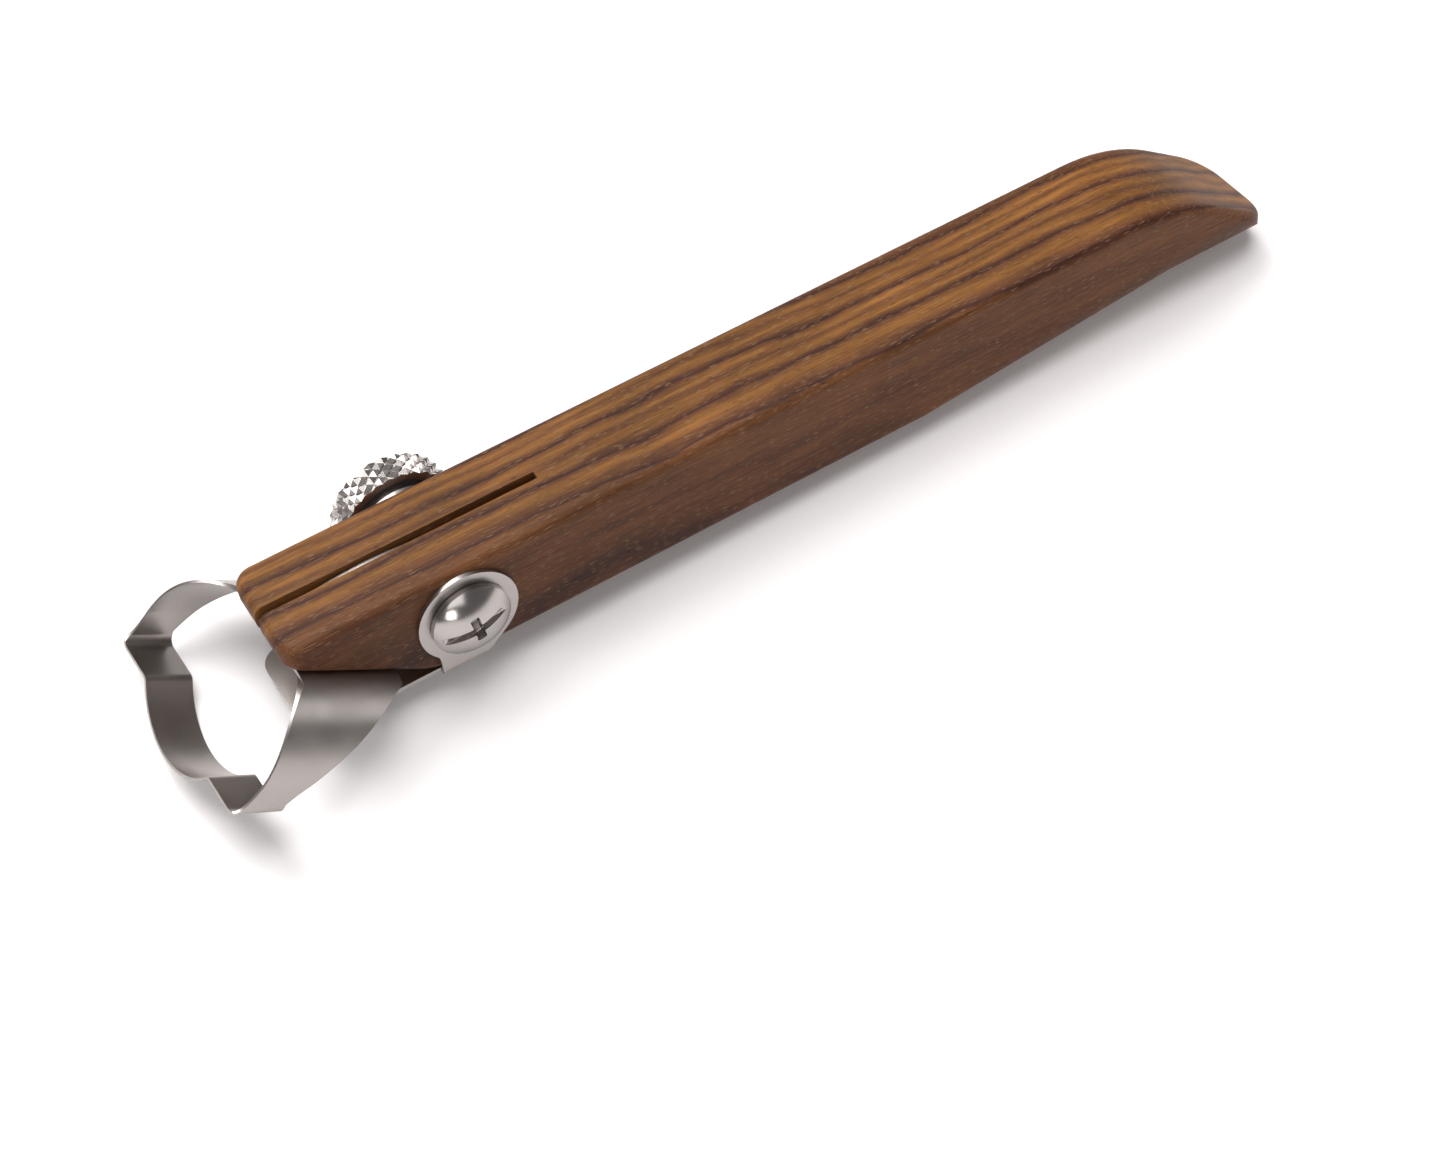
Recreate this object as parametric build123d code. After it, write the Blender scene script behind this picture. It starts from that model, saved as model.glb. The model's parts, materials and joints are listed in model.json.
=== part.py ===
"""A clay ribbon tool: a wooden handle, slit at the nose, that clamps a bent steel blade.

A thumb nut and a round-headed screw squeeze the two jaws on the blade's tang, through a
bracket that wraps the handle and carries a sole plate behind the blade.

Everything is modelled in the tool's own frame, in millimetres: the origin lies on the screw's
axis, halfway between the jaws, X runs towards the tail, Y along the screw to the nut and Z up
from the handle's flat bottom.  At the end all pieces are laid down together as the tool
rests on a table, on its nut, its blade and its tail.
"""

import os
from math import acos, asin, atan2, cos, hypot, radians, sin, sqrt

from build123d import *

# Handle
HANDLE_WIDTH = 16.0
HANDLE_HEIGHT = 15.0
NOSE_REACH = 22.4  # from the screw's axis forward to the nose
TAIL_REACH = 121.8  # from the screw's axis back to the tail
CUT_ANGLE = 35.0  # slope of the underside at the nose and of the top at the tail
JAW_DEPTH = 9.3  # from the screw's axis down to the sloping underside, square to it
TAIL_THICKNESS = 3.8
TAIL_CREST_RADIUS = 24.0
JAW_HEEL_RADIUS = 6.0
NOSE_CORNER_RADIUS = 2.6
TAIL_CORNER_RADIUS = 5.0
EDGE_RADIUS = 1.3
EDGE_SHARE = 0.42  # of the nose's height, the most that its edges are rounded
PARED_RADIUS = 7.0  # of the underside's long edges at the tail
PARED_LENGTH = 16.0  # of the tail that has that radius
PARED_RUN = 40.0  # over which the edges open out to it
PARED_MARGIN = 4.0  # how far a paring cut stands outside the bar
KERF_WIDTH = 1.2
KERF_REACH = 15.0  # from the screw's axis back to the kerf's blind end

# Screw and nut
SCREW_DIAMETER = 4.9
BORE_CLEARANCE = 0.08  # round the screw, all the way round
HEAD_DIAMETER = 10.2
HEAD_RIM = 1.0
HEAD_HEIGHT = 2.7
SCREW_OVERHANG = 2.8  # past the nut's outer face
TIP_CHAMFER = 0.5
SLOT_WIDTH = 1.1
SLOT_LENGTH = 8.8
SLOT_DEPTH = 1.3
CROSS_LENGTH = 3.8
CROSS_DEPTH = 1.6
SLOT_ANGLE = 7.0
NUT_DIAMETER = 16.0
NUT_THICKNESS = 4.4
NUT_CHAMFER = 0.35
COLLAR_DIAMETER = 11.0
COLLAR_HEIGHT = 0.8
FACE_GAP = 0.05  # between two flat faces of pieces that bear on each other

# Bracket
STRAP = 0.6
LOBE_RADIUS = 6.6
NECK_FRONT = 4.8  # from the screw's axis forward to the neck's front edge
NECK_BACK = 0.6  # from the screw's axis back to the neck's back edge
NECK_FILLET = 1.4
BEND_RADIUS = 1.0
SOLE_WIDTH = 15.0
SOLE_REACH = 22.6  # from the screw's axis forward to the sole plate's front edge
SOLE_CORNER_RADIUS = 3.0

# Blade, in the plane square to its folds: across from the middle, and down from the screw
BLADE_THICKNESS = 0.35
SHOULDER_FLAT = 6.7  # half the flat stretch that lies along the jaws
SHOULDER_RADIUS = 9.5
LOOP_TAPER = 0.3  # how far each side leans in below the shoulder
NOTCH_DROP = 14.1  # from the flat stretch down to the notches
NOTCH_CORNER_RADIUS = 1.4
LOBE_HALF_WIDTH = 9.0
LOBE_DROP = 18.6  # from the flat stretch down to the middle lobe
LOBE_FILLET = 0.9
# Blade rims, as places in front of the screw's axis and below the flat stretch
FRONT_RIM = [(19.5, 0.2), (20.9, 0.9), (22.9, 3.4), (27.0, 13.6)]
REAR_RIM = [(5.9, 0.2), (7.7, 0.8), (12.8, 4.1), (19.1, 10.1), (20.7, 12.4)]
LOOP_SKEW = 0.022  # how far the loop leads forward on the nut's side, for its width
# Blade tang
EYE_CLEARANCE = 0.1
EYE_RIM = 3.6  # of sheet round the eye
TANG_TOP = 6.9
TANG_TOP_PLACE = 8.0  # where the tang's back is highest, in front of the screw's axis
TANG_NOSE_PLACE = 17.4
TANG_NOSE_TOP = 6.0
TANG_NOSE_RADIUS = 1.2

# Laying the tool down
FIRST_ROLL = 15.0
SETTLING_STEPS = 20
FEET_TOLERANCE = 0.01

HALF_WIDTH = HANDLE_WIDTH / 2
HALF_HEIGHT = HANDLE_HEIGHT / 2
LOBE_FACE = HALF_WIDTH + FACE_GAP + STRAP  # outer face of each bracket lobe
SOLE_TOP = -HALF_HEIGHT - FACE_GAP
SOLE_BOTTOM = SOLE_TOP - STRAP
SCREW_RADIUS = SCREW_DIAMETER / 2
SEAT = LOBE_FACE + FACE_GAP  # where the screw's head and the nut bear
NUT_FACE = SEAT + COLLAR_HEIGHT + NUT_THICKNESS
EYE_RADIUS = SCREW_RADIUS + EYE_CLEARANCE
BLADE_DEPTH = JAW_DEPTH + FACE_GAP + BLADE_THICKNESS / 2  # flat stretch, middle of the sheet

# A frame whose x runs along the blade's folds, y across the tool and z up out of the loop
FOLDS = Plane(origin=(0, 0, 0), x_dir=(cos(radians(CUT_ANGLE)), 0, -sin(radians(CUT_ANGLE))), z_dir=(0, -1, 0))
LOOP_SECTION = Plane(origin=(0, 0, 0), x_dir=(0, 1, 0), z_dir=FOLDS.x_dir)
LOW_CENTRE = (Align.CENTER, Align.MIN)
ACROSS = Plane(origin=(0, 0, 0), x_dir=(1, 0, 0), z_dir=(0, -1, 0))


def along_screw(radius: float, low: float, high: float) -> Part:
    """A cylinder on the screw's axis between two places along Y."""
    return Plane.XZ.offset(-high) * extrude(Circle(radius), high - low)


def on_jaw(along: float, depth: float) -> tuple[float, float]:
    """Tool X and Z of a place given along the folds and down from the screw."""
    slope = radians(CUT_ANGLE)
    return (along * cos(slope) - depth * sin(slope), -along * sin(slope) - depth * cos(slope))


def make_paring(side: int) -> Part:
    """What is pared off one long edge of the underside, more and more towards the tail."""
    full = TAIL_REACH - PARED_LENGTH
    stations = [(full - PARED_RUN, EDGE_RADIUS), (full, PARED_RADIUS), (TAIL_REACH + PARED_MARGIN, PARED_RADIUS)]
    sections = []
    for along, radius in stations:
        inward, above = HALF_WIDTH - radius, radius - HALF_HEIGHT
        outside, below = HALF_WIDTH + PARED_MARGIN, -HALF_HEIGHT - PARED_MARGIN
        turn = radius * sqrt(0.5)
        bottom, middle, flank = (inward, -HALF_HEIGHT), (inward + turn, above - turn), (HALF_WIDTH, above)
        outline = Polyline(flank, (outside, above), (outside, below), (inward, below), bottom)
        outline += ThreePointArc(bottom, middle, flank)
        section = make_face(outline)
        sections.append(Plane.YZ.offset(along) * (section if side > 0 else mirror(section, Plane.YZ)))
    return loft(sections[:2], ruled=True) + loft(sections[1:], ruled=True)


def make_handle() -> Part:
    """The bar with its sloping ends, soft edges, kerf and cross bore."""
    slope = radians(CUT_ANGLE)
    heel = (HALF_HEIGHT * cos(slope) - JAW_DEPTH) / sin(slope)
    nose_bottom = (NOSE_REACH * sin(slope) - JAW_DEPTH) / cos(slope)
    tail_top = TAIL_THICKNESS - HALF_HEIGHT
    crest = TAIL_REACH - (HALF_HEIGHT - tail_top) * cos(slope) / sin(slope)
    corners = [
        (-NOSE_REACH, HALF_HEIGHT),
        (crest, HALF_HEIGHT),
        (TAIL_REACH, tail_top),
        (TAIL_REACH, -HALF_HEIGHT),
        (heel, -HALF_HEIGHT),
        (-NOSE_REACH, nose_bottom),
    ]
    outline = make_face(Polyline(corners, close=True))
    outline = fillet(outline.vertices().sort_by_distance((crest, HALF_HEIGHT))[0], TAIL_CREST_RADIUS)
    outline = fillet(outline.vertices().sort_by_distance((heel, -HALF_HEIGHT))[0], JAW_HEEL_RADIUS)
    bar = ACROSS * extrude(outline, HALF_WIDTH, both=True)
    upright = bar.edges().filter_by(Axis.Z)
    bar = fillet(upright.sort_by(Axis.X)[:2], NOSE_CORNER_RADIUS)
    bar = fillet(bar.edges().filter_by(Axis.Z).sort_by(Axis.X)[-2:], TAIL_CORNER_RADIUS)
    bar = fillet(bar.edges(), min(EDGE_RADIUS, EDGE_SHARE * (HALF_HEIGHT - nose_bottom)))
    bar -= make_paring(1) + make_paring(-1)
    kerf = Pos(KERF_REACH - NOSE_REACH, 0, 0) * Box(2 * NOSE_REACH, KERF_WIDTH, 2 * HANDLE_HEIGHT)
    bore = along_screw(SCREW_RADIUS + BORE_CLEARANCE, -HANDLE_WIDTH, HANDLE_WIDTH)
    return bar - kerf - bore


def make_loop() -> Part:
    """The bent strip: its section along the folds, cut to the two rims."""
    side = SHOULDER_FLAT + SHOULDER_RADIUS
    flat, notch, lobe = -BLADE_DEPTH, -BLADE_DEPTH - NOTCH_DROP, -BLADE_DEPTH - LOBE_DROP
    centreline = make_face(
        Line((-SHOULDER_FLAT, flat), (SHOULDER_FLAT, flat))
        + RadiusArc((SHOULDER_FLAT, flat), (side, flat - SHOULDER_RADIUS), SHOULDER_RADIUS)
        + Polyline((side, flat - SHOULDER_RADIUS), (side - LOOP_TAPER, notch), (LOBE_HALF_WIDTH, notch))
        + ThreePointArc((LOBE_HALF_WIDTH, notch), (0, lobe), (-LOBE_HALF_WIDTH, notch))
        + Polyline((-LOBE_HALF_WIDTH, notch), (LOOP_TAPER - side, notch), (-side, flat - SHOULDER_RADIUS))
        + RadiusArc((-side, flat - SHOULDER_RADIUS), (-SHOULDER_FLAT, flat), SHOULDER_RADIUS)
    )
    for sign in (-1, 1):
        corner = centreline.vertices().sort_by_distance((sign * (side - LOOP_TAPER), notch))[0]
        centreline = fillet(corner, NOTCH_CORNER_RADIUS)
        corner = centreline.vertices().sort_by_distance((sign * LOBE_HALF_WIDTH, notch))[0]
        centreline = fillet(corner, LOBE_FILLET)
    sheet = offset(centreline, BLADE_THICKNESS / 2) - offset(centreline, -BLADE_THICKNESS / 2)
    reach = FRONT_RIM[-1][0] + BLADE_THICKNESS
    strip = LOOP_SECTION.offset(-reach) * extrude(sheet, reach)

    front = [(-along, flat - drop) for along, drop in FRONT_RIM]
    rear = [(-along, flat - drop) for along, drop in REAR_RIM]
    above, below = flat + 1, lobe - 1
    side_view = make_face(
        Spline(front)
        + Polyline(front[-1], (front[-1][0], below), (rear[-1][0], below), rear[-1])
        + Spline(rear[::-1])
        + Polyline(rear[0], (rear[0][0], above), (front[0][0], above), front[0])
    )
    return strip & FOLDS * extrude(side_view, 2 * side, dir=(LOOP_SKEW, 0, 1), both=True)


def make_tang() -> Part:
    """The two leaves of the strip, laid together in the kerf, with the eye for the screw."""
    eye_outside = EYE_RADIUS + EYE_RIM
    nose_foot = on_jaw(-FRONT_RIM[0][0], BLADE_DEPTH)
    rear_foot = on_jaw(-REAR_RIM[0][0], BLADE_DEPTH)
    nose = (-TANG_NOSE_PLACE, TANG_NOSE_TOP)
    outline = make_face(
        Line(nose_foot, nose)
        + ThreePointArc(nose, (-TANG_TOP_PLACE, TANG_TOP), (0, eye_outside))
        + ThreePointArc((0, eye_outside), (eye_outside, 0), (0, -eye_outside))
        + Polyline((0, -eye_outside), rear_foot, nose_foot)
    )
    outline = fillet(outline.vertices().sort_by_distance(nose)[0], TANG_NOSE_RADIUS)
    return ACROSS * extrude(outline - Circle(EYE_RADIUS), BLADE_THICKNESS, both=True)


def make_bracket() -> Part:
    """The strap: a lobe on each side of the handle, a bridge below it and the sole plate."""
    reach = hypot(NECK_BACK, SOLE_BOTTOM)
    tangent = atan2(SOLE_BOTTOM, NECK_BACK) + acos(LOBE_RADIUS / reach)
    neck = Polygon(
        (-NECK_FRONT, 0),
        (-NECK_FRONT, SOLE_BOTTOM),
        (NECK_BACK, SOLE_BOTTOM),
        (LOBE_RADIUS * cos(tangent), LOBE_RADIUS * sin(tangent)),
        align=None,
    )
    cheek = Circle(LOBE_RADIUS) + neck
    crook = (-NECK_FRONT, -sqrt(LOBE_RADIUS**2 - NECK_FRONT**2))
    cheek = fillet(cheek.vertices().sort_by_distance(crook)[0], NECK_FILLET)
    cheek -= Circle(SCREW_RADIUS + BORE_CLEARANCE)
    wall = BEND_RADIUS - STRAP
    outside = Pos(0, SOLE_BOTTOM) * RectangleRounded(2 * LOBE_FACE, 4 * LOBE_RADIUS, BEND_RADIUS, align=LOW_CENTRE)
    inside = Pos(0, SOLE_TOP) * RectangleRounded(2 * LOBE_FACE - 2 * STRAP, 4 * LOBE_RADIUS, wall, align=LOW_CENTRE)
    channel = Plane.YZ.offset(-2 * LOBE_RADIUS) * extrude(outside - inside, 4 * LOBE_RADIUS)
    strap = channel & ACROSS * extrude(cheek, HANDLE_WIDTH, both=True)

    sole = Rectangle(SOLE_REACH, SOLE_WIDTH, align=(Align.MAX, Align.CENTER))
    sole = fillet(sole.vertices().sort_by(Axis.X)[:2], SOLE_CORNER_RADIUS)
    return strap + Pos(0, 0, SOLE_BOTTOM) * extrude(sole, STRAP)


def make_screw() -> Part:
    """The clamp screw: plain shank, domed head, and a slot with a short cross in it."""
    crown = -SEAT - HEAD_HEIGHT
    rim, brow = HEAD_DIAMETER / 2, -SEAT - HEAD_RIM
    dome_height = brow - crown
    dome_radius = (rim**2 + dome_height**2) / (2 * dome_height)
    half_angle = asin(rim / dome_radius) / 2
    shoulder = (dome_radius * sin(half_angle), crown + dome_radius * (1 - cos(half_angle)))
    tip = NUT_FACE + SCREW_OVERHANG
    outline = make_face(
        Polyline(
            (0, crown),
            (0, tip),
            (SCREW_RADIUS - TIP_CHAMFER, tip),
            (SCREW_RADIUS, tip - TIP_CHAMFER),
            (SCREW_RADIUS, -SEAT),
            (rim, -SEAT),
            (rim, brow),
        )
        + ThreePointArc((rim, brow), shoulder, (0, crown))
    )
    screw = revolve(outline, Axis.Y)
    slot = Box(SLOT_LENGTH, 2 * SLOT_DEPTH, SLOT_WIDTH) + Box(SLOT_WIDTH, 2 * CROSS_DEPTH, CROSS_LENGTH)
    return screw - Pos(0, crown, 0) * Rot(0, -SLOT_ANGLE, 0) * slot


def make_nut() -> Part:
    """The thumb nut: a thick round disc with a narrower collar towards the handle."""
    disc = chamfer(along_screw(NUT_DIAMETER / 2, SEAT + COLLAR_HEIGHT, NUT_FACE).edges(), NUT_CHAMFER)
    collar = along_screw(COLLAR_DIAMETER / 2, SEAT, SEAT + COLLAR_HEIGHT)
    bore = along_screw(SCREW_RADIUS + BORE_CLEARANCE, SEAT, NUT_FACE)
    return disc + collar - bore


def make_pieces() -> dict[str, Part]:
    """Every piece in the tool's frame, by name."""
    return {
        "handle": make_handle(),
        "blade": make_loop() + make_tang(),
        "bracket": make_bracket(),
        "clamp_screw": make_screw(),
        "thumb_nut": make_nut(),
    }


def table_normal(pieces: dict[str, Part]) -> Vector:
    """The upright of the table that the nut's rim, the blade and the tail all touch."""
    feet = [pieces[name].tessellate(FEET_TOLERANCE)[0] for name in ("thumb_nut", "blade", "handle")]
    up = Vector(0, -sin(radians(FIRST_ROLL)), cos(radians(FIRST_ROLL)))
    for _ in range(SETTLING_STEPS):
        nut, blade, tail = (min(points, key=up.dot) for points in feet)
        up = (blade - nut).cross(tail - nut).normalized()
    return up


def resting_place(pieces: dict[str, Part]) -> Location:
    """Where the tool's frame lies when the table is level and its top is at zero."""
    up = table_normal(pieces)
    along = Vector(1, 0, 0) - up * up.X
    turned = Plane((0, 0, 0), x_dir=along, z_dir=up).location.inverse()
    box = (turned * Compound(list(pieces.values()))).bounding_box()
    return Pos(-box.center().X, -box.center().Y, -box.min.Z) * turned


if __name__ == "__main__":
    os.makedirs("parts", exist_ok=True)
    made = make_pieces()
    place = resting_place(made)
    for name, piece in made.items():
        export_step(place * piece, f"parts/{name}.step")
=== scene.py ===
"""A clay ribbon tool lying on a pale table: wooden handle, bent steel blade, screw and nut.

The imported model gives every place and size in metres.  The handle, the blade and the
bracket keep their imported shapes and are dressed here.  The clamp screw and the thumb nut
are turned afresh, with the thread and the diamond knurl that the plain ones leave out.
"""

from __future__ import annotations

import json
import logging
import math
from collections.abc import Callable
from dataclasses import dataclass, field
from enum import Enum

import bpy
from mathutils import Euler, Matrix, Vector

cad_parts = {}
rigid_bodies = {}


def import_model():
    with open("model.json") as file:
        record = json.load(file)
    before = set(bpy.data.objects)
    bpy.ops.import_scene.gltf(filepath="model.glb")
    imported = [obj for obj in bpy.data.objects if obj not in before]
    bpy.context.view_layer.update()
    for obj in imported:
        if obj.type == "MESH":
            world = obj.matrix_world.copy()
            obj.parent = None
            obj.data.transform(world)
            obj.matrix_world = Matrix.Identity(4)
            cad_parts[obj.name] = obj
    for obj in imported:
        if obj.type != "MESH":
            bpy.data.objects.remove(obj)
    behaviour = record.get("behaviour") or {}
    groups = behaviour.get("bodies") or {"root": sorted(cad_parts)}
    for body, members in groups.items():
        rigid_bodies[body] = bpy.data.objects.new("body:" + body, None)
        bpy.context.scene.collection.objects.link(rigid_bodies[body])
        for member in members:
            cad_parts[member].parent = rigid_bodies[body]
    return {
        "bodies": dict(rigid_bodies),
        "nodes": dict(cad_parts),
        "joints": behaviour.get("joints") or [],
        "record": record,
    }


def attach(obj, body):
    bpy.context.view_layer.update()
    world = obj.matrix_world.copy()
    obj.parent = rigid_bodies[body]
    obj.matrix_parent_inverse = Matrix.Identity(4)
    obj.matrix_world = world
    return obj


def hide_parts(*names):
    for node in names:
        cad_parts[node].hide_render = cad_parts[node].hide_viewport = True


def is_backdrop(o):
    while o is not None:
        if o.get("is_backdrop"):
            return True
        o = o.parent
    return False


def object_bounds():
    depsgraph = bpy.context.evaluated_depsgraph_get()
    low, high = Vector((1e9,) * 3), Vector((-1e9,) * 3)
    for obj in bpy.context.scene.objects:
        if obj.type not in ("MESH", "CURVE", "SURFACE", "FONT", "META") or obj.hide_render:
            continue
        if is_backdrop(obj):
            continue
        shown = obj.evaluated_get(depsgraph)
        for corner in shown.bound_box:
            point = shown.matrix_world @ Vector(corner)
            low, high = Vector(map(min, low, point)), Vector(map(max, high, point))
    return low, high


LOG = logging.getLogger("ribbon_tool")
MM = 0.001
SAME_PLACE = 1e-4  # millimetres: places closer than this count as one
SAME_RADIUS = 1e-3  # millimetres: the same, for the radius of the knurl's points
Colour = tuple[float, float, float]
Triple = tuple[float, float, float]
Pair = tuple[float, float]
Socket = bpy.types.NodeSocket


class Body(Enum):
    """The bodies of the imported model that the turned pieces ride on."""

    SCREW = "screw"
    NUT = "nut"


class Slot(Enum):
    """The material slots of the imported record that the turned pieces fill."""

    SCREW = "screw_steel"
    NUT = "nut_steel"


@dataclass(frozen=True)
class ToolPlace:
    """Where the tool's own frame lies: X to the tail, Y along the screw, Z out of the top."""

    matrix: Matrix

    @classmethod
    def from_record(cls, record: dict) -> ToolPlace:
        """Reads the screw's axis and the handle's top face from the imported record.

        Args:
            record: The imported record.

        Returns:
            The place, whose matrix takes tool coordinates to the table's.
        """
        spin = next(j for j in record["behaviour"]["joints"] if j["name"] == "nut_spin")
        top = next(m for m in record["mounts"] if m["name"] == "top_face")
        across, up = Vector(spin["axis"]).normalized(), Vector(top["axis"]).normalized()
        along = across.cross(up).normalized()
        turn = Matrix((along, across, along.cross(across))).transposed().to_4x4()
        return cls(Matrix.Translation(Vector(spin["pos_m"])) @ turn)

    def point(self, x: float, y: float, z: float) -> Vector:
        """The place in the table's frame that tool coordinates in millimetres mean."""
        return self.matrix @ (Vector((x, y, z)) * MM)

    def direction(self, vector: Vector) -> Vector:
        """A tool direction in the table's frame."""
        return (self.matrix.to_3x3() @ vector).normalized()

    def screw_matrix(self) -> Matrix:
        """Takes a piece turned about Z, in millimetres, onto the screw's axis."""
        turned = Matrix(((1, 0, 0), (0, 0, 1), (0, -1, 0))).to_4x4()
        return self.matrix @ turned @ Matrix.Scale(MM, 4)


# ---------------------------------------------------------------- edit-mode helpers


def start_piece() -> None:
    """Leaves everything unselected, so that an operator touches only the new piece."""
    if bpy.context.object and bpy.context.object.mode != "OBJECT":
        bpy.ops.object.mode_set(mode="OBJECT")
    bpy.ops.object.select_all(action="DESELECT")


def edit(piece: bpy.types.Object) -> None:
    """Opens a piece in edit mode with nothing selected.

    Args:
        piece: The mesh object to open.
    """
    start_piece()
    piece.select_set(True)
    bpy.context.view_layer.objects.active = piece
    bpy.ops.object.mode_set(mode="EDIT")
    bpy.ops.mesh.select_all(action="DESELECT")


def select_vertices(piece: bpy.types.Object, wanted: Callable[[Vector], bool]) -> None:
    """Selects the vertices that pass a test, and leaves the piece in edit mode.

    Args:
        piece: The mesh object.
        wanted: A test on a vertex's place.
    """
    edit(piece)
    bpy.ops.mesh.select_mode(type="VERT")
    bpy.ops.object.mode_set(mode="OBJECT")
    for vertex in piece.data.vertices:
        vertex.select = bool(wanted(vertex.co))
    bpy.ops.object.mode_set(mode="EDIT")


def turn_rings(rings: list[Pair], segments: int, name: str) -> bpy.types.Object:
    """Turns a profile about Z: a circle is added and extruded from ring to ring.

    Args:
        rings: Radius and height of each ring, in order.
        segments: How many points go round.
        name: The new object's name.

    Returns:
        The turned shell in edit mode, its last ring selected.
    """
    start_piece()
    radius, height = rings[0]
    bpy.ops.mesh.primitive_circle_add(vertices=segments, radius=radius, location=(0, 0, height))
    piece = bpy.context.object
    piece.name = piece.data.name = name
    bpy.ops.object.transform_apply(location=True, rotation=True, scale=True)
    bpy.ops.object.mode_set(mode="EDIT")
    bpy.ops.mesh.select_all(action="SELECT")
    for wide, high in rings[1:]:
        bpy.ops.mesh.extrude_region_move(TRANSFORM_OT_translate={"value": (0, 0, high - height)})
        share = wide / radius
        bpy.ops.transform.resize(value=(share, share, 1), center_override=(0, 0, high))
        radius, height = wide, high
    return piece


def cap_ring() -> None:
    """Closes the selected ring with a fan of faces."""
    bpy.ops.mesh.edge_face_add()
    bpy.ops.mesh.poke()


def finish_piece(piece: bpy.types.Object, matrix: Matrix, smooth_under: float) -> None:
    """Turns faces outwards, lays the piece in its place and smooths its gentle corners.

    Args:
        piece: The mesh object, modelled in its own frame.
        matrix: Takes that frame to the table's.
        smooth_under: Corners gentler than this many degrees are smoothed.
    """
    edit(piece)
    bpy.ops.mesh.select_all(action="SELECT")
    bpy.ops.mesh.normals_make_consistent(inside=False)
    bpy.ops.object.mode_set(mode="OBJECT")
    piece.matrix_world = matrix
    bpy.ops.object.transform_apply(location=True, rotation=True, scale=True)
    bpy.ops.object.shade_smooth_by_angle(angle=math.radians(smooth_under))


def join(pieces: list[bpy.types.Object]) -> bpy.types.Object:
    """Joins meshes into the first one.

    Args:
        pieces: The mesh objects to join.

    Returns:
        The first object, which now holds them all.
    """
    start_piece()
    for piece in pieces:
        piece.select_set(True)
    bpy.context.view_layer.objects.active = pieces[0]
    bpy.ops.object.join()
    return pieces[0]


def report(piece: bpy.types.Object) -> None:
    """Logs a piece's name and how many faces it has."""
    LOG.info("%s: %d faces", piece.name, len(piece.data.polygons))


# ---------------------------------------------------------------- node helpers


@dataclass(frozen=True)
class Pattern:
    """Noise drawn out along the tool's axes, and the range that it is stretched to."""

    fineness: Triple  # features for each millimetre along, across and up
    detail: float = 2.0  # how many finer layers are added
    harshness: float = 0.5  # how strong each finer layer is
    used: Pair = (0.25, 0.75)  # the part of the noise that is stretched
    becomes: Pair = (0.0, 1.0)  # and what it is stretched to


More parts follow.
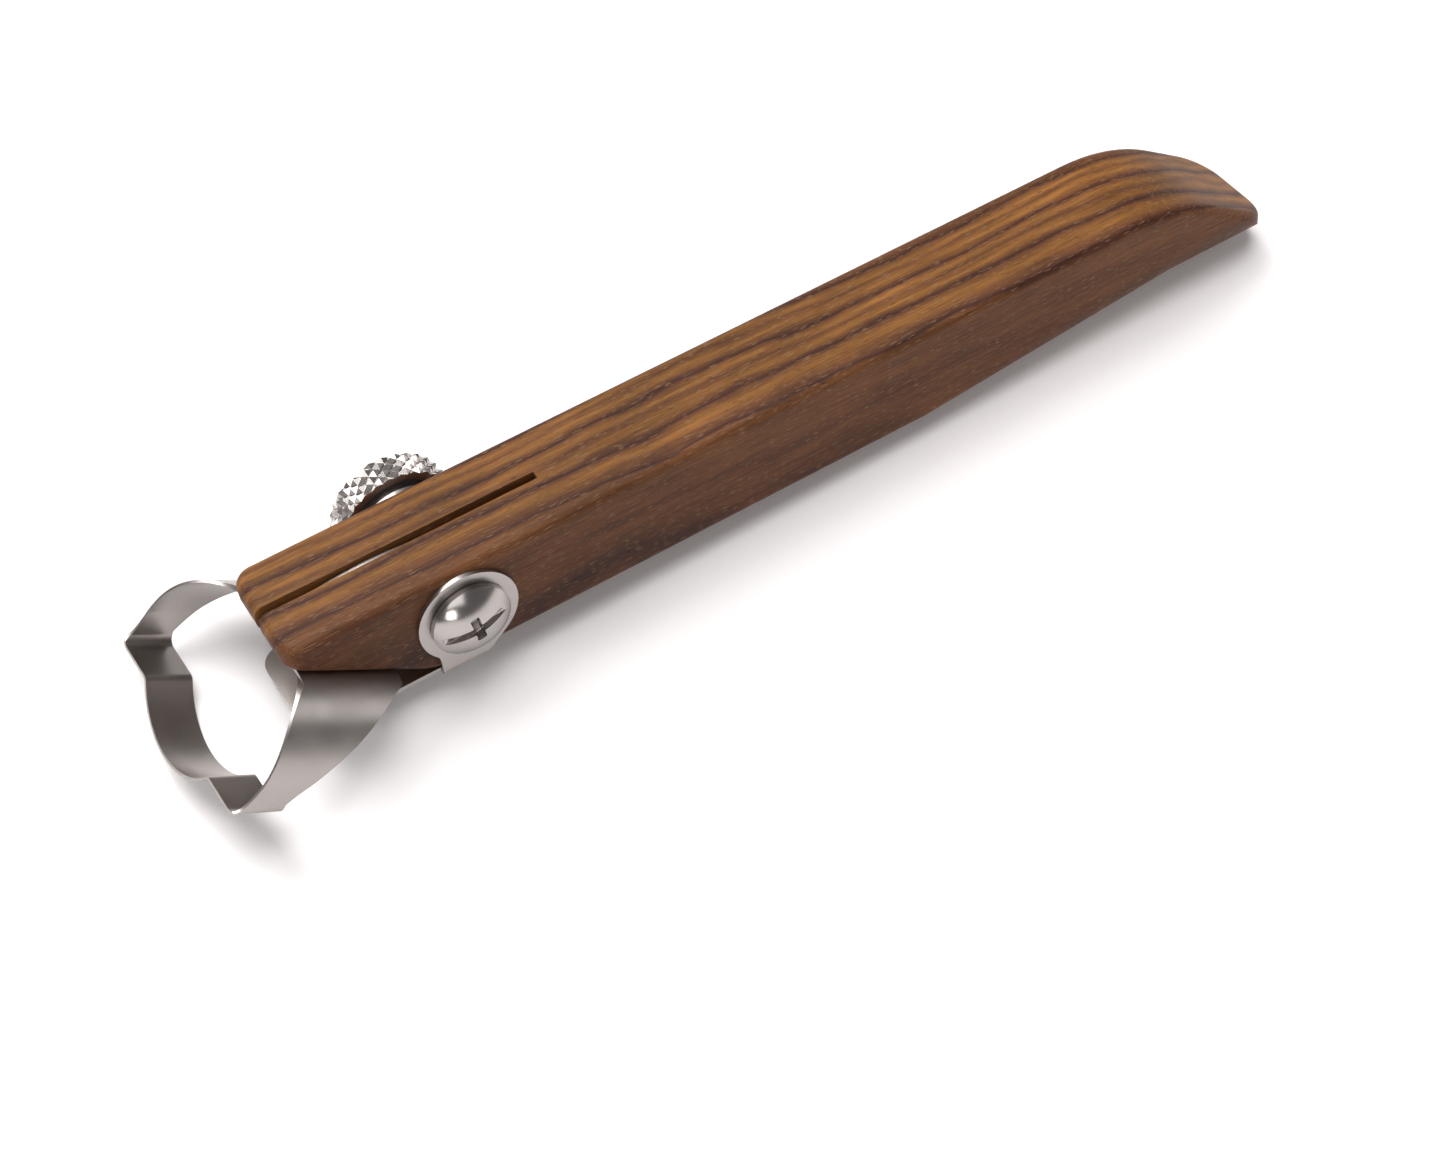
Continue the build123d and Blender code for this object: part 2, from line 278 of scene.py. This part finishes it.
@dataclass
class Shader:
    """A material under construction, with its nodes laid on tool coordinates in millimetres."""

    name: str
    place: ToolPlace
    material: bpy.types.Material = field(init=False)

    def __post_init__(self) -> None:
        """Makes the material and its main shader."""
        self.material = bpy.data.materials.new(self.name)
        self.material.use_nodes = True
        self.tree = self.material.node_tree
        self.surface = self.tree.nodes["Principled BSDF"]
        where = self.tree.nodes.new("ShaderNodeTexCoord").outputs["Object"]
        turn = self.tree.nodes.new("ShaderNodeMapping")
        turn.vector_type = "TEXTURE"
        turn.inputs["Location"].default_value = self.place.matrix.to_translation()
        turn.inputs["Rotation"].default_value = self.place.matrix.to_euler("XYZ")
        turn.inputs["Scale"].default_value = (MM, MM, MM)
        self.link(where, turn.inputs["Vector"])
        self.place_mm = turn.outputs["Vector"]

    def link(self, output: Socket, socket: Socket) -> None:
        """Joins an output to an input."""
        self.tree.links.new(output, socket)

    def feed(self, socket: Socket, value: Socket | float | tuple[float, ...]) -> None:
        """Sets an input to a number or colour, or joins an output to it.

        Args:
            socket: The input.
            value: What it takes.
        """
        if isinstance(value, Socket):
            self.link(value, socket)
        else:
            socket.default_value = value

    def noise(self, pattern: Pattern) -> Socket:
        """Makes the noise of a pattern.

        Args:
            pattern: The pattern.

        Returns:
            The noise before it is stretched, about 0.5 on average.
        """
        drawn = self.tree.nodes.new("ShaderNodeVectorMath")
        drawn.operation = "MULTIPLY"
        self.link(self.place_mm, drawn.inputs[0])
        drawn.inputs[1].default_value = pattern.fineness
        node = self.tree.nodes.new("ShaderNodeTexNoise")
        self.link(drawn.outputs["Vector"], node.inputs["Vector"])
        node.inputs["Scale"].default_value = 1.0
        node.inputs["Detail"].default_value = pattern.detail
        node.inputs["Roughness"].default_value = pattern.harshness
        return node.outputs["Fac"]

    def stretched(self, pattern: Pattern) -> Socket:
        """The noise of a pattern, stretched to what it becomes."""
        return self.remap(self.noise(pattern), pattern.used, pattern.becomes)

    def math(self, operation: str, first: Socket | float, second: Socket | float) -> Socket:
        """Does one step of arithmetic.

        Args:
            operation: Its name.
            first: A number or an output.
            second: Another.

        Returns:
            The result.
        """
        node = self.tree.nodes.new("ShaderNodeMath")
        node.operation = operation
        self.feed(node.inputs[0], first)
        self.feed(node.inputs[1], second)
        return node.outputs[0]

    def remap(self, value: Socket, used: Pair, becomes: Pair = (0.0, 1.0)) -> Socket:
        """Stretches a range of an output to another, and holds it there.

        Args:
            value: The output.
            used: Where its range starts and ends.
            becomes: What the start and the end become.

        Returns:
            The stretched value.
        """
        node = self.tree.nodes.new("ShaderNodeMapRange")
        node.clamp = True
        self.link(value, node.inputs["Value"])
        for socket, number in zip(("From Min", "From Max"), used):
            node.inputs[socket].default_value = number
        for socket, number in zip(("To Min", "To Max"), becomes):
            node.inputs[socket].default_value = number
        return node.outputs["Result"]

    def ramp(self, value: Socket, stops: list[tuple[float, Colour]]) -> Socket:
        """Colours a range.

        Args:
            value: The output to colour, from 0 to 1.
            stops: Places along the range, in order, and their colours.

        Returns:
            The colour.
        """
        node = self.tree.nodes.new("ShaderNodeValToRGB")
        self.link(value, node.inputs["Fac"])
        elements = node.color_ramp.elements
        while len(elements) < len(stops):
            elements.new(0.5)
        for element, (place, colour) in zip(elements, stops):
            element.position = place
            element.color = (*colour, 1.0)
        return node.outputs["Color"]

    def mix(self, share: Socket, first: Socket | Colour, second: Socket | Colour) -> Socket:
        """Mixes two colours.

        Args:
            share: How much of the second is taken, from 0 to 1.
            first: One colour.
            second: The other.

        Returns:
            The mixed colour.
        """
        node = self.tree.nodes.new("ShaderNodeMix")
        node.data_type = "RGBA"
        self.link(share, node.inputs["Factor"])
        colour_inputs = (socket for socket in node.inputs if socket.type == "RGBA")
        for socket, colour in zip(colour_inputs, (first, second)):
            self.feed(socket, colour if isinstance(colour, Socket) else (*colour, 1.0))
        return next(socket for socket in node.outputs if socket.type == "RGBA")

    def times(self, colour: Socket, factor: Socket) -> Socket:
        """Multiplies a colour by a number.

        Args:
            colour: The colour.
            factor: The number.

        Returns:
            The lighter or darker colour.
        """
        node = self.tree.nodes.new("ShaderNodeVectorMath")
        node.operation = "SCALE"
        self.link(colour, node.inputs[0])
        self.link(factor, node.inputs["Scale"])
        return node.outputs["Vector"]

    def raise_surface(self, height: Socket, distance: float, strength: float) -> None:
        """Raises the surface by a height pattern.

        Args:
            height: The pattern.
            distance: How high its full height stands, in millimetres.
            strength: How much of that shows.
        """
        node = self.tree.nodes.new("ShaderNodeBump")
        node.inputs["Strength"].default_value = strength
        node.inputs["Distance"].default_value = distance * MM
        self.link(height, node.inputs["Height"])
        self.link(node.outputs["Normal"], self.surface.inputs["Normal"])


@dataclass(frozen=True)
class OiledWood:
    """Golden wood with dark layers that show as stripes on top and as broad figure on the sides."""

    gold: Colour = (0.222, 0.092, 0.020)
    brown: Colour = (0.118, 0.045, 0.016)
    red_brown: Colour = (0.078, 0.028, 0.012)
    dark: Colour = (0.040, 0.014, 0.009)
    fleck: Colour = (0.22, 0.13, 0.075)  # pale dust in the pores
    reach: float = 10.0  # the layers are drawn this far to each side of the middle
    lift: float = 0.20  # how much a layer shifts sideways with height
    drift: float = 0.016  # and along the handle
    sway: Pattern = Pattern((0.03, 0.10, 0.10), 3.0, becomes=(-1.1, 1.1))  # millimetres
    ripple: Pattern = Pattern((0.12, 0.55, 0.55), becomes=(-0.28, 0.28))  # millimetres
    fibres: Pattern = Pattern(
        (0.12, 3.4, 3.4), 5.0, 0.72, used=(0.32, 0.68), becomes=(0.58, 1.30)
    )
    clouds: Pattern = Pattern((0.05, 0.22, 0.22), used=(0.32, 0.68), becomes=(0.76, 1.22))
    pores: Pattern = Pattern((0.75, 6.5, 6.5), 1.0, 0.4, used=(0.66, 0.74))
    dust: Pattern = Pattern((0.8, 5.5, 5.5), 0.0, used=(0.66, 0.72))
    pore_share: float = 0.75  # how dark the pores are
    dust_share: float = 0.45  # how pale the dust is
    gloss_used: Pair = (0.25, 0.75)  # the part of the fibres that changes the gloss
    roughness: Pair = (0.42, 0.58)
    relief: float = 0.05  # height of the grain, in millimetres
    relief_share: float = 0.55  # how much of it shows
    ior: float = 1.48
    specular: float = 0.18

    def layers(self) -> list[tuple[float, Colour]]:
        """Lists the layers met when crossing the handle.

        Returns:
            How far each one lies from the middle, in millimetres, and its colour.
        """
        return [
            (-9.8, self.red_brown),
            (-9.2, self.dark),
            (-8.6, self.red_brown),
            (-7.6, self.brown),
            (-7.0, self.red_brown),
            (-6.2, self.brown),
            (-4.8, self.brown),
            (-4.4, self.dark),
            (-4.0, self.red_brown),
            (-3.2, self.brown),
            (-1.8, self.gold),
            (-0.7, self.brown),
            (-0.3, self.dark),
            (0.1, self.red_brown),
            (1.2, self.gold),
            (2.6, self.brown),
            (3.6, self.gold),
            (4.5, self.brown),
            (4.8, self.dark),
            (5.1, self.red_brown),
            (6.3, self.gold),
            (7.4, self.brown),
            (8.2, self.gold),
            (8.9, self.brown),
            (9.2, self.dark),
            (9.8, self.brown),
        ]

    def make(self, place: ToolPlace) -> bpy.types.Material:
        """Builds the material.

        Args:
            place: The tool's place, which the grain follows.

        Returns:
            The wood material.
        """
        wood = Shader("oiled_wood", place)
        parts = wood.tree.nodes.new("ShaderNodeSeparateXYZ")
        wood.link(wood.place_mm, parts.inputs[0])
        along, across, up = parts.outputs

        level = self.level(wood, along, across, up)
        share = wood.remap(level, (-self.reach, self.reach))
        stops = [(0.5 + mm / (2 * self.reach), colour) for mm, colour in self.layers()]
        colour = wood.ramp(share, stops)

        fibres = wood.noise(self.fibres)
        tone = wood.remap(fibres, self.fibres.used, self.fibres.becomes)
        colour = wood.times(colour, wood.math("MULTIPLY", tone, wood.stretched(self.clouds)))
        pits = wood.stretched(self.pores)
        colour = wood.mix(wood.math("MULTIPLY", pits, self.pore_share), colour, self.dark)
        dust = wood.math("MULTIPLY", wood.stretched(self.dust), self.dust_share)
        colour = wood.mix(dust, colour, self.fleck)

        gloss = wood.remap(fibres, self.gloss_used, self.roughness)
        wood.link(colour, wood.surface.inputs["Base Color"])
        wood.link(gloss, wood.surface.inputs["Roughness"])
        wood.surface.inputs["IOR"].default_value = self.ior
        wood.surface.inputs["Specular IOR Level"].default_value = self.specular
        height = wood.math("SUBTRACT", fibres, pits)
        wood.raise_surface(height, self.relief, self.relief_share)
        return wood.material

    def level(self, wood: Shader, along: Socket, across: Socket, up: Socket) -> Socket:
        """Works out which layer of the wood a place lies in.

        Args:
            wood: The material under construction.
            along: The place along the handle.
            across: The place across it.
            up: Its height.

        Returns:
            The layer, as millimetres from the middle one.
        """
        level = wood.math("ADD", across, wood.math("MULTIPLY", up, self.lift))
        level = wood.math("ADD", level, wood.math("MULTIPLY", along, self.drift))
        for wander in (self.sway, self.ripple):
            level = wood.math("ADD", level, wood.stretched(wander))
        return level


@dataclass(frozen=True)
class Steel:
    """Bare steel with a fine surface and faint handling marks."""

    name: str
    colour: Colour
    roughness: float
    speckle: float  # height of the fine surface, in millimetres
    smudges: float  # how much handling marks change the gloss
    marks: Pattern = Pattern((0.22, 0.22, 0.22), 3.0, used=(0.3, 0.7))
    grain: Pattern = Pattern((9.0, 9.0, 9.0), 3.0, 0.6, used=(0.3, 0.7))
    shade: float = 0.86  # how dark the darker grains are
    speckle_share: float = 0.6  # how much of the fine surface shows

    def make(self, place: ToolPlace) -> bpy.types.Material:
        """Builds the material.

        Args:
            place: The tool's place, which the surface pattern follows.

        Returns:
            The steel material.
        """
        steel = Shader(self.name, place)
        steel.surface.inputs["Metallic"].default_value = 1.0
        gloss = (self.roughness - self.smudges, self.roughness + self.smudges)
        marks = steel.remap(steel.noise(self.marks), self.marks.used, gloss)
        steel.link(marks, steel.surface.inputs["Roughness"])
        grain = steel.noise(self.grain)
        darker = tuple(self.shade * part for part in self.colour)
        colour = steel.mix(steel.remap(grain, self.grain.used), darker, self.colour)
        steel.link(colour, steel.surface.inputs["Base Color"])
        if self.speckle:
            steel.raise_surface(grain, self.speckle, self.speckle_share)
        return steel.material


# ---------------------------------------------------------------- the tool's pieces


@dataclass
class PackedPiece:
    """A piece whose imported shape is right, and which is only given its finish."""

    node: str
    finish: OiledWood | Steel

    def dress(self, frame: dict, place: ToolPlace) -> None:
        """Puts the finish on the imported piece.

        Args:
            frame: The loaded model.
            place: The tool's place.
        """
        piece = frame["nodes"][self.node]
        material = self.finish.make(place)
        for holder in piece.material_slots:
            holder.material = material
        report(piece)


@dataclass
class ClampScrew:
    """The clamp screw, in millimetres along its axis: domed head, slot with a cross, and thread."""

    place: ToolPlace
    seat: float = -8.7  # where the head bears
    head_radius: float = 5.1
    rim_height: float = 1.0
    head_height: float = 2.7
    rim_softness: float = 0.14
    dome_rings: int = 12
    slot_size: Triple = (8.8, 1.15, 1.3)  # length, width and depth
    cross_size: Triple = (3.8, 1.2, 1.7)
    slot_angle: float = -7.0  # degrees
    slot_rounding: float = 1 / 6  # radius of its edges, as a share of its width
    slot_steps: int = 3  # faces across a rounded edge
    shank_radius: float = 2.45
    core_radius: float = 2.0
    pitch: float = 0.8
    crest: Pair = (0.41, 0.55)  # where the rib's crest starts and ends, in pitches
    foot: float = 0.96  # how wide the rib is at its foot, in pitches
    foot_depth: float = 0.1  # how far its foot is sunk into the core
    thread_lead: float = 0.2  # how far inside the head the thread starts
    tip: float = 16.7
    tip_chamfer: float = 0.5
    segments: int = 72
    smooth_under: float = 32.0  # degrees
    finish: Steel = Steel("bright_nickel", (0.46, 0.43, 0.415), 0.19, 0.0, 0.03)

    def dome(self) -> list[Pair]:
        """Works out the dome's outline.

        Returns:
            Its rings, from the brow to just short of the crown.
        """
        brow = self.seat - self.rim_height
        height = self.head_height - self.rim_height
        edge = self.head_radius - self.rim_softness
        ball = (edge**2 + height**2) / (2 * height)
        widest = math.asin(edge / ball)
        rings = []
        for step in range(self.dome_rings):
            angle = widest * (1 - step / self.dome_rings)
            rings.append((ball * math.sin(angle), brow - height + ball * (1 - math.cos(angle))))
        return rings

    def head(self) -> bpy.types.Object:
        """Turns the head and cuts its slot and cross.

        Returns:
            The head, in its own frame.
        """
        soft, brow = self.rim_softness, self.seat - self.rim_height
        rings = [
            (self.core_radius, self.seat + soft),
            (self.core_radius, self.seat),
            (self.head_radius - soft, self.seat),
            (self.head_radius, self.seat - soft),
            (self.head_radius, brow + soft),
            *self.dome(),
        ]
        head = turn_rings(rings, self.segments, "clamp_screw_turned")
        cap_ring()
        select_vertices(head, lambda co: abs(co.z - self.seat - soft) < SAME_PLACE)
        cap_ring()
        bpy.ops.object.mode_set(mode="OBJECT")
        for size, turn in ((self.slot_size, 0.0), (self.cross_size, 90.0)):
            self.cut(head, size, math.radians(self.slot_angle + turn))
        return head

    def cut(self, head: bpy.types.Object, size: Triple, angle: float) -> None:
        """Cuts one straight slot into the dome.

        Args:
            head: The head to cut.
            size: Length, width and depth of the slot.
            angle: How far the slot is turned about the screw's axis, in radians.
        """
        length, width, depth = size
        start_piece()
        bpy.ops.mesh.primitive_cube_add(size=1, location=(0, 0, self.seat - self.head_height))
        cutter = bpy.context.object
        cutter.scale = (length, width, 2 * depth)
        cutter.rotation_euler = Euler((0, 0, angle))
        bpy.ops.object.transform_apply(location=True, rotation=True, scale=True)
        bevel = cutter.modifiers.new("soft", "BEVEL")
        bevel.width, bevel.segments = width * self.slot_rounding, self.slot_steps
        bpy.ops.object.modifier_apply(modifier=bevel.name)
        start_piece()
        bpy.context.view_layer.objects.active = head
        head.select_set(True)
        cutting = head.modifiers.new("cut", "BOOLEAN")
        cutting.operation, cutting.solver, cutting.object = "DIFFERENCE", "EXACT", cutter
        bpy.ops.object.modifier_apply(modifier=cutting.name)
        bpy.data.objects.remove(cutter)

    def core(self) -> bpy.types.Object:
        """Turns the shank's core, from inside the head to the chamfered tip.

        Returns:
            The core, in its own frame.
        """
        chamfer = self.tip_chamfer
        rings = [
            (self.core_radius, self.seat - self.rim_height),
            (self.core_radius, self.tip - chamfer),
            (self.core_radius - chamfer, self.tip),
        ]
        core = turn_rings(rings, self.segments // 2, "screw_core")
        cap_ring()
        select_vertices(core, lambda co: abs(co.z - rings[0][1]) < SAME_PLACE)
        cap_ring()
        bpy.ops.object.mode_set(mode="OBJECT")
        return core

    def thread(self) -> bpy.types.Object:
        """Winds one rib of thread round the core.

        Returns:
            The rib, in its own frame.
        """
        start_piece()
        bpy.ops.mesh.primitive_plane_add(size=1)
        rib = bpy.context.object
        rib.name = rib.data.name = "screw_rib"
        root, bottom = self.core_radius - self.foot_depth, self.seat - self.thread_lead
        corners = [
            (root, 0, bottom),
            (self.shank_radius, 0, bottom + self.crest[0] * self.pitch),
            (self.shank_radius, 0, bottom + self.crest[1] * self.pitch),
            (root, 0, bottom + self.foot * self.pitch),
        ]
        for vertex, corner in zip(rib.data.polygons[0].vertices, corners):
            rib.data.vertices[vertex].co = corner
        edit(rib)
        bpy.ops.mesh.select_all(action="SELECT")
        bpy.ops.mesh.delete(type="ONLY_FACE")
        bpy.ops.object.mode_set(mode="OBJECT")
        wind = rib.modifiers.new("wind", "SCREW")
        turns = int((self.tip - self.tip_chamfer - bottom) / self.pitch) - 1
        wind.axis, wind.angle, wind.screw_offset = "Z", 2 * math.pi, self.pitch
        wind.steps = wind.render_steps = self.segments // 2
        wind.iterations = turns
        wind.use_merge_vertices = True
        wind.merge_threshold = SAME_PLACE
        bpy.ops.object.modifier_apply(modifier=wind.name)
        edit(rib)
        bpy.ops.mesh.select_all(action="SELECT")
        bpy.ops.mesh.remove_doubles(threshold=SAME_PLACE)
        bpy.ops.mesh.select_all(action="SELECT")
        bpy.ops.mesh.fill_holes(sides=4)
        bpy.ops.object.mode_set(mode="OBJECT")
        return rib

    def build(self) -> bpy.types.Object:
        """Makes the whole screw and puts it in place.

        Returns:
            The finished screw.
        """
        screw = join([self.head(), self.core(), self.thread()])
        finish_piece(screw, self.place.screw_matrix(), self.smooth_under)
        screw.data.materials.clear()
        screw.data.materials.append(self.finish.make(self.place))
        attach(screw, Body.SCREW.value)
        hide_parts("clamp_screw")
        report(screw)
        return screw


@dataclass
class ThumbNut:
    """The thumb nut, in millimetres along the screw: collar, diamond knurl and turned faces."""

    place: ToolPlace
    seat: float = 8.7  # where the collar bears
    collar_radius: float = 5.5
    collar_height: float = 0.8
    thickness: float = 4.4
    tip_radius: float = 8.0
    valley_radius: float = 7.5
    edge_tip_radius: float = 7.8
    face_radius: float = 7.05
    chamfer: float = 0.26
    bore_radius: float = 2.53
    bore_chamfer: float = 0.3
    recess: Triple = (3.9, 6.2, 0.3)  # inner and outer radius, and depth
    columns: int = 28  # diamonds round the rim
    rows: int = 5  # half diamonds across the rim
    smooth_under: float = 24.0  # degrees
    finish: Steel = Steel("turned_steel", (0.47, 0.44, 0.425), 0.24, 0.004, 0.04)

    def profile(self) -> list[Pair]:
        """Works out the nut's outline.

        Returns:
            Its rings, from the near face round the outside, through the bore and to the collar.
        """
        near = self.seat + self.collar_height
        far = near + self.thickness
        low, high = near + self.chamfer, far - self.chamfer
        step = (high - low) / self.rows
        inner, outer, depth = self.recess
        soft = self.bore_chamfer / 2
        return [
            (self.face_radius, near),
            *[(self.valley_radius, low + row * step) for row in range(self.rows + 1)],
            (self.face_radius, far),
            (outer + soft, far),
            (outer, far - depth),
            (inner + soft, far - depth),
            (inner, far),
            (self.bore_radius + self.bore_chamfer, far),
            (self.bore_radius, far - self.bore_chamfer),
            (self.bore_radius, self.seat + self.bore_chamfer),
            (self.bore_radius + self.bore_chamfer, self.seat),
            (self.collar_radius - soft, self.seat),
            (self.collar_radius, self.seat + soft),
            (self.collar_radius, near),
        ]

    def build(self) -> bpy.types.Object:
        """Makes the nut and puts it in place.

        Returns:
            The finished nut.
        """
        nut = turn_rings(self.profile(), 2 * self.columns, "thumb_nut_knurled")
        near = self.seat + self.collar_height
        ends = (self.face_radius, self.collar_radius)
        select_vertices(
            nut,
            lambda co: abs(co.z - near) < SAME_PLACE
            and min(abs(co.xy.length - radius) for radius in ends) < SAME_PLACE,
        )
        bpy.ops.mesh.bridge_edge_loops()
        self.raise_diamonds(nut)
        finish_piece(nut, self.place.screw_matrix(), self.smooth_under)
        nut.data.materials.clear()
        nut.data.materials.append(self.finish.make(self.place))
        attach(nut, Body.NUT.value)
        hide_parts("thumb_nut")
        report(nut)
        return nut

    def raise_diamonds(self, nut: bpy.types.Object) -> None:
        """Pulls every second point of the rim outwards, so that small pyramids stand up.

        Args:
            nut: The turned nut with a plain rim.
        """
        low = self.seat + self.collar_height + self.chamfer
        step = (self.thickness - 2 * self.chamfer) / self.rows

        def is_tip(co: Vector, edge: bool) -> bool:
            """Tells whether a place is the tip of one of the rim's diamonds.

            Args:
                co: The place.
                edge: Whether tips on the rim's two edges are meant, or those between.

            Returns:
                Whether it is such a tip.
            """
            if abs(co.xy.length - self.valley_radius) > SAME_RADIUS:
                return False
            row = round((co.z - low) / step)
            column = round(math.atan2(co.x, co.y) / (math.pi / self.columns))
            return (row + column) % 2 == 0 and (row in (0, self.rows)) == edge

        for edge, radius in ((False, self.tip_radius), (True, self.edge_tip_radius)):
            select_vertices(nut, lambda co, edge=edge: is_tip(co, edge))
            share = radius / self.valley_radius
            bpy.ops.transform.resize(value=(share, share, 1), center_override=(0, 0, 0))
        select_vertices(nut, lambda co: co.xy.length > self.valley_radius - SAME_RADIUS)
        bpy.ops.mesh.quads_convert_to_tris(quad_method="SHORTEST_DIAGONAL")


# ---------------------------------------------------------------- table, lights, camera


@dataclass(frozen=True)
class Table:
    """The pale table top."""

    size: float = 2.4
    colour: Colour = (0.93, 0.915, 0.925)
    roughness: float = 0.75

    def build(self) -> None:
        """Lays the table top at zero height."""
        start_piece()
        bpy.ops.mesh.primitive_plane_add(size=self.size, location=(0, 0, 0))
        top = bpy.context.object
        top.name = "table_top"
        material = bpy.data.materials.new("pale_table")
        material.use_nodes = True
        surface = material.node_tree.nodes["Principled BSDF"]
        surface.inputs["Base Color"].default_value = (*self.colour, 1.0)
        surface.inputs["Roughness"].default_value = self.roughness
        top.data.materials.append(material)
        top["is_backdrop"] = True


@dataclass(frozen=True)
class Softbox:
    """One soft light, placed in metres on the table and aimed at the tool."""

    name: str
    position: Triple
    size: float
    watts: float
    colour: Colour = (1.0, 0.985, 0.97)

    def build(self, target: Vector) -> None:
        """Hangs the light.

        Args:
            target: The place that the light faces.
        """
        data = bpy.data.lights.new(self.name, "AREA")
        data.shape, data.size = "SQUARE", self.size
        data.energy, data.color = self.watts, self.colour
        lamp = bpy.data.objects.new(self.name, data)
        bpy.context.scene.collection.objects.link(lamp)
        lamp.location = Vector(self.position)
        lamp.visible_camera = False
        lamp.rotation_mode = "QUATERNION"
        lamp.rotation_quaternion = (target - lamp.location).to_track_quat("-Z", "Y")


@dataclass(frozen=True)
class Studio:
    """Soft studio light: cards above, behind, before and beside the tool, and a dim room."""

    room: Colour = (0.17, 0.163, 0.163)
    sky: Colour = (0.93, 0.92, 0.925)
    boxes: tuple[Softbox, ...] = (
        Softbox("key_card", (-0.25, 1.25, 1.55), 1.25, 32.5),
        Softbox("left_card", (-1.75, 0.12, 1.12), 0.75, 9.4),
        Softbox("top_card", (0.25, 0.30, 2.38), 1.38, 31.2),
        Softbox("front_card", (-0.38, -1.38, 1.30), 1.12, 6.2),
        Softbox("right_card", (1.78, -0.42, 0.74), 0.90, 3.4),
        Softbox("low_card", (-0.70, -1.50, 0.35), 0.40, 3.1),
    )

    def build(self, target: Vector) -> None:
        """Hangs the lights and colours the room.

        Args:
            target: The place that the lights face.
        """
        for box in self.boxes:
            box.build(target)
        world = bpy.data.worlds.new("room")
        bpy.context.scene.world = world
        world.use_nodes = True
        nodes, links = world.node_tree.nodes, world.node_tree.links
        lit = nodes["Background"]
        lit.inputs["Color"].default_value = (*self.room, 1.0)
        seen = nodes.new("ShaderNodeBackground")
        seen.inputs["Color"].default_value = (*self.sky, 1.0)
        path, mixer = nodes.new("ShaderNodeLightPath"), nodes.new("ShaderNodeMixShader")
        links.new(path.outputs["Is Camera Ray"], mixer.inputs["Fac"])
        links.new(lit.outputs[0], mixer.inputs[1])
        links.new(seen.outputs[0], mixer.inputs[2])
        links.new(mixer.outputs[0], nodes["World Output"].inputs["Surface"])
        bpy.context.scene.view_settings.view_transform = "Standard"


@dataclass(frozen=True)
class TableCamera:
    """The camera, with its position and aim in the tool's frame, in millimetres."""

    position: Triple = (-54.789, -198.037, 223.84)
    aim: Triple = (28.549, -19.016, -4.49)
    right: Triple = (0.85067, -0.51707, -0.09492)
    lens: float = 62.28
    sensor: float = 36.0
    clip: Pair = (0.01, 20.0)  # metres

    def build(self, place: ToolPlace) -> None:
        """Sets up the camera and makes it the scene's.

        Args:
            place: The tool's place.
        """
        data = bpy.data.cameras.new("table_camera")
        data.lens, data.sensor_width = self.lens, self.sensor
        camera = bpy.data.objects.new("table_camera", data)
        bpy.context.scene.collection.objects.link(camera)
        position, aim = place.point(*self.position), place.point(*self.aim)
        back = (position - aim).normalized()
        right = place.direction(Vector(self.right))
        up = back.cross(right).normalized()
        turn = Matrix((up.cross(back), up, back)).transposed().to_4x4()
        camera.matrix_world = Matrix.Translation(position) @ turn
        data.clip_start, data.clip_end = self.clip
        bpy.context.scene.camera = camera


def main() -> None:
    """Builds the scene in order and reports each piece."""
    logging.basicConfig(level=logging.INFO, format="%(name)s %(message)s")
    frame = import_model()
    packed_box = [list(corner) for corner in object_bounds()]
    place = ToolPlace.from_record(frame["record"])

    rolled_strip = Steel("rolled_strip", (0.42, 0.388, 0.372), 0.34, 0.005, 0.04)
    tumbled_steel = Steel("tumbled_steel", (0.42, 0.39, 0.375), 0.31, 0.005, 0.04)
    PackedPiece("handle", OiledWood()).dress(frame, place)
    PackedPiece("blade", rolled_strip).dress(frame, place)
    PackedPiece("bracket", tumbled_steel).dress(frame, place)
    ClampScrew(place).build()
    ThumbNut(place).build()

    Table().build()
    low, high = (Vector(corner) for corner in packed_box)
    Studio().build((low + high) / 2)
    TableCamera().build(place)


if __name__ == "__main__":
    main()
